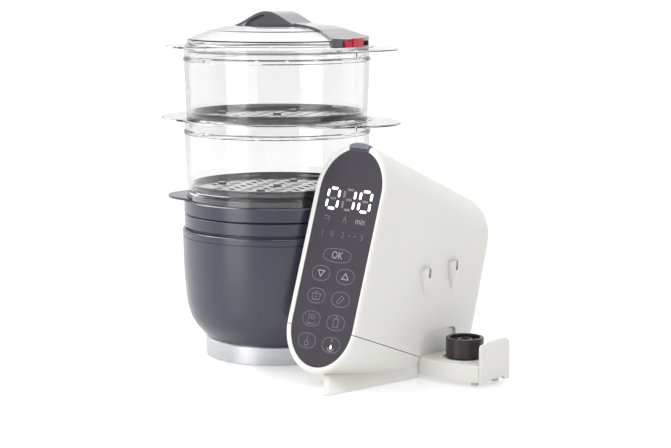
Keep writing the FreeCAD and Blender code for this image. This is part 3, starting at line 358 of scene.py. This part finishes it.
digits = Print("display_digits", DIGIT, "light_plastic")
ghosts = Print("display_unlit_segments", GHOST, "light_plastic")
DT = 55.3
for cx, on in ((-21.0, "abcdef"), (0.0, "bc"), (21.0, "abcdef")):
    seg = {"a": (0, 9.6, 8.4, 2.4), "d": (0, -9.6, 8.4, 2.4), "g": (0, 0, 8.0, 2.2),
           "b": (7.0, 4.9, 2.9, 7.0), "c": (7.0, -4.9, 2.9, 7.0), "e": (-7.0, -4.9, 2.9, 7.0), "f": (-7.0, 4.9, 2.9, 7.0)}
    for k, (x, t, w, h) in seg.items():
        (digits if k in on else ghosts).pill(cx + x, DT + t, w, h)
digits.make()
ghosts.make()

icons = Print("panel_icons", ICON, "light_plastic")
faint = Print("panel_small_print", FAINT, "light_plastic")
rings = Print("panel_key_outlines", OUTLINE, "light_plastic")

icons.text("min", 20.0, 36.2, 8.4)
# unlit indicator marks under the digits
faint.line([(-28.0, 38.2), (-22.6, 38.2), (-20.6, 36.4), (-20.6, 33.4)], 1.0)
faint.line([(-26.0, 35.4), (-22.8, 35.4)], 0.9)
faint.arc(0.0, 34.6, 2.1, -40, 220, 0.9)
faint.line([(-1.7, 36.0), (0.0, 39.6), (1.7, 36.0)], 0.9)
for s, x in (("1", -25.5), ("0", -12.5), ("2", 1.2), ("3", 26.0)):
    faint.text(s, x, 21.6 if x < 20 else 21.0, 8.0)
faint.line([(8.0, 22.0), (11.0, 22.0)], 0.9)
faint.line([(15.6, 22.0), (18.8, 22.0)], 0.9)

rings.oval(0.0, 2.0, 36.5, 13.4, 0.75, 2.6)
icons.text("OK", 0.0, 2.0, 10.0)
KEYS = [(-16.0, -16.4), (16.0, -16.4), (-16.0, -38.0), (16.0, -38.0), (-16.0, -60.0), (16.0, -60.0), (-16.0, -81.0),
        (16.0, -81.0)]
for x, t in KEYS:
    rings.oval(x, t, 23.6, 14.8, 0.75, 2.3)


def tri(p, x, t, up):
    s = 1.0 if up else -1.0
    a = [(x - 5.2, t - 3.0 * s), (x + 5.2, t - 3.0 * s), (x, t + 3.9 * s)]
    c = (x, t - 0.7 * s)
    b = [(c[0] + (q[0] - c[0]) * 0.64, c[1] + (q[1] - c[1]) * 0.64) for q in a]
    return p.loop(a, b)


tri(icons, -16.0, -16.4, False)
tri(icons, 16.0, -16.4, True)
# generic function marks: pot, bottle warmer, steam, cup, whisk
x, t = -16.0, -38.0
faint2 = Print("panel_key_marks", MARK, "light_plastic")
faint2.line([(x - 5.4, t + 1.6), (x - 4.4, t - 3.6), (x + 4.4, t - 3.6), (x + 5.4, t + 1.6)], 0.8)
faint2.line([(x - 6.4, t + 1.9), (x + 6.4, t + 1.9)], 0.8)
faint2.line([(x - 2.4, t + 3.6), (x + 2.4, t + 3.6)], 0.8)
faint2.pill(x, t - 0.9, 2.0, 2.0)
x, t = 16.0, -38.0
faint2.line([(x - 4.6, t - 2.8), (x + 1.2, t + 3.8), (x + 4.2, t + 1.4), (x - 1.6, t - 4.6)], 0.8)
faint2.line([(x - 4.6, t - 2.8), (x - 1.6, t - 4.6)], 0.8)
x, t = -16.0, -60.0
for k in (-3.4, 0.0, 3.4):
    faint2.line([(x + k - 0.8, t - 0.6), (x + k + 0.7, t + 1.2), (x + k - 0.7, t + 2.8), (x + k + 0.7, t + 4.6)], 0.8)
faint2.line([(x - 5.6, t - 1.8), (x - 4.4, t - 4.6), (x + 4.4, t - 4.6), (x + 5.6, t - 1.8)], 0.8)
x, t = 16.0, -60.0
faint2.line([(x - 3.0, t + 3.4), (x - 3.0, t - 4.2), (x + 3.0, t - 4.2), (x + 3.0, t + 3.4)], 0.8)
faint2.line([(x - 3.8, t + 3.6), (x + 3.8, t + 3.6)], 0.8)
faint2.pill(x, t + 5.2, 2.6, 1.4)
x, t = -16.0, -81.0
faint2.line([(x, t + 5.2), (x, t + 0.4)], 0.8)
faint2.oval(x, t - 2.4, 6.0, 5.4, 0.8)
faint2.make()
# lit key
lit_key = Print("panel_lit_key", DIGIT, "light_plastic")
x, t = 16.0, -81.0
lit_key.poly([(x - 1.1, t - 3.6), (x + 1.1, t - 3.6), (x + 1.2, t - 2.2), (x + 0.6, t - 0.6), (x, t + 0.6), (x - 0.6, t - 0.6),
              (x - 1.2, t - 2.2)])
lit_key.make()
icons.arc(x, t - 1.0, 4.6, 200, 340, 0.7)
icons.line([(x, t + 3.2), (x, t + 5.4)], 0.8)
icons.make()
faint.make()
rings.make()

# ---------------------------------------------------------------------------
# Floor, light and camera
# ---------------------------------------------------------------------------
bm = bmesh.new()
R = 40.0
verts = [bm.verts.new((R * math.cos(math.radians(a)), R * math.sin(math.radians(a)), -0.00005)) for a in range(0, 360, 5)]
bm.faces.new(verts)
me = bpy.data.meshes.new("floor")
bm.to_mesh(me)
bm.free()
floor = bpy.data.objects.new("floor", me)
bpy.context.scene.collection.objects.link(floor)
fl = Mat("floor_sheet")
fl.link(fl.ramp(fl.noise(2.0), [(0.3, (0.62, 0.62, 0.624)), (0.7, (0.635, 0.635, 0.639))]), fl.b.inputs["Base Color"])
fl.link(fl.range(fl.noise(6.0), 0.20, 0.26), fl.b.inputs["Roughness"])
fl.set(Specular_IOR_Level=0.22, Emission_Color=(1, 1, 1, 1), Emission_Strength=0.35)
me.materials.append(fl.m)

scene = bpy.context.scene
world = bpy.data.worlds.new("studio")
scene.world = world
world.use_nodes = True
wt = world.node_tree
wt.nodes.clear()
wo = wt.nodes.new("ShaderNodeOutputWorld")
bg = wt.nodes.new("ShaderNodeBackground")
tc = wt.nodes.new("ShaderNodeTexCoord")
dot = wt.nodes.new("ShaderNodeVectorMath")
dot.operation = "DOT_PRODUCT"
dot.inputs[1].default_value = (0.7071, -0.7071, 0.0)
rp = wt.nodes.new("ShaderNodeValToRGB")
mr = wt.nodes.new("ShaderNodeMapRange")
mr.inputs["From Min"].default_value = -1.0
mr.inputs["From Max"].default_value = 1.0
for el, (p, v) in zip((rp.color_ramp.elements[0], rp.color_ramp.elements[1]), ((0.40, 1.0), (0.62, 0.36))):
    el.position, el.color = p, (v, v, v, 1.0)
wt.links.new(tc.outputs["Generated"], dot.inputs[0])
wt.links.new(dot.outputs["Value"], mr.inputs["Value"])
wt.links.new(mr.outputs["Result"], rp.inputs["Fac"])
wt.links.new(rp.outputs["Color"], bg.inputs["Color"])
bg.inputs["Strength"].default_value = 1.10
wt.links.new(bg.outputs[0], wo.inputs[0])


def softbox(name, loc, aim, w, h, power):
    l = bpy.data.lights.new(name, "AREA")
    l.shape, l.size, l.size_y, l.energy = "RECTANGLE", w, h, power
    o = bpy.data.objects.new(name, l)
    scene.collection.objects.link(o)
    o.location = loc
    o.rotation_euler = (Vector(aim) - Vector(loc)).to_track_quat("-Z", "Y").to_euler()
    return o


tower = Vector((TX * MM, TY * MM, 0.2))
softbox("left_box", tower + Vector((-0.10, -1.55, 0.45)), tower, 0.85, 1.5, 12.0)
softbox("right_box", tower + Vector((1.75, -0.06, 0.45)), tower, 0.95, 1.5, 7.8)
softbox("side_box", tower + Vector((-1.05, -0.55, 1.15)), tower, 1.1, 1.1, 20.0)
softbox("top_box", (0.0, 0.1, 2.1), (0, 0, 0.1), 1.8, 1.6, 14.0)

cam_d = bpy.data.cameras.new("camera")
cam_d.sensor_width, cam_d.sensor_fit, cam_d.lens = 36.0, "HORIZONTAL", 98.07
cam_d.clip_start, cam_d.clip_end = 0.05, 100.0
cam = bpy.data.objects.new("camera", cam_d)
scene.collection.objects.link(cam)
cam.location = ((TX + 1333.9) * MM, (TY - 1251.3) * MM, 388.6 * MM)
cam.rotation_euler = (math.radians(81.96), 0.0, math.radians(45.0))
scene.camera = cam

scene.view_settings.view_transform = "Standard"
scene.cycles.max_bounces = 24
scene.cycles.transmission_bounces = 24
scene.cycles.transparent_max_bounces = 24
scene.cycles.use_denoising = True
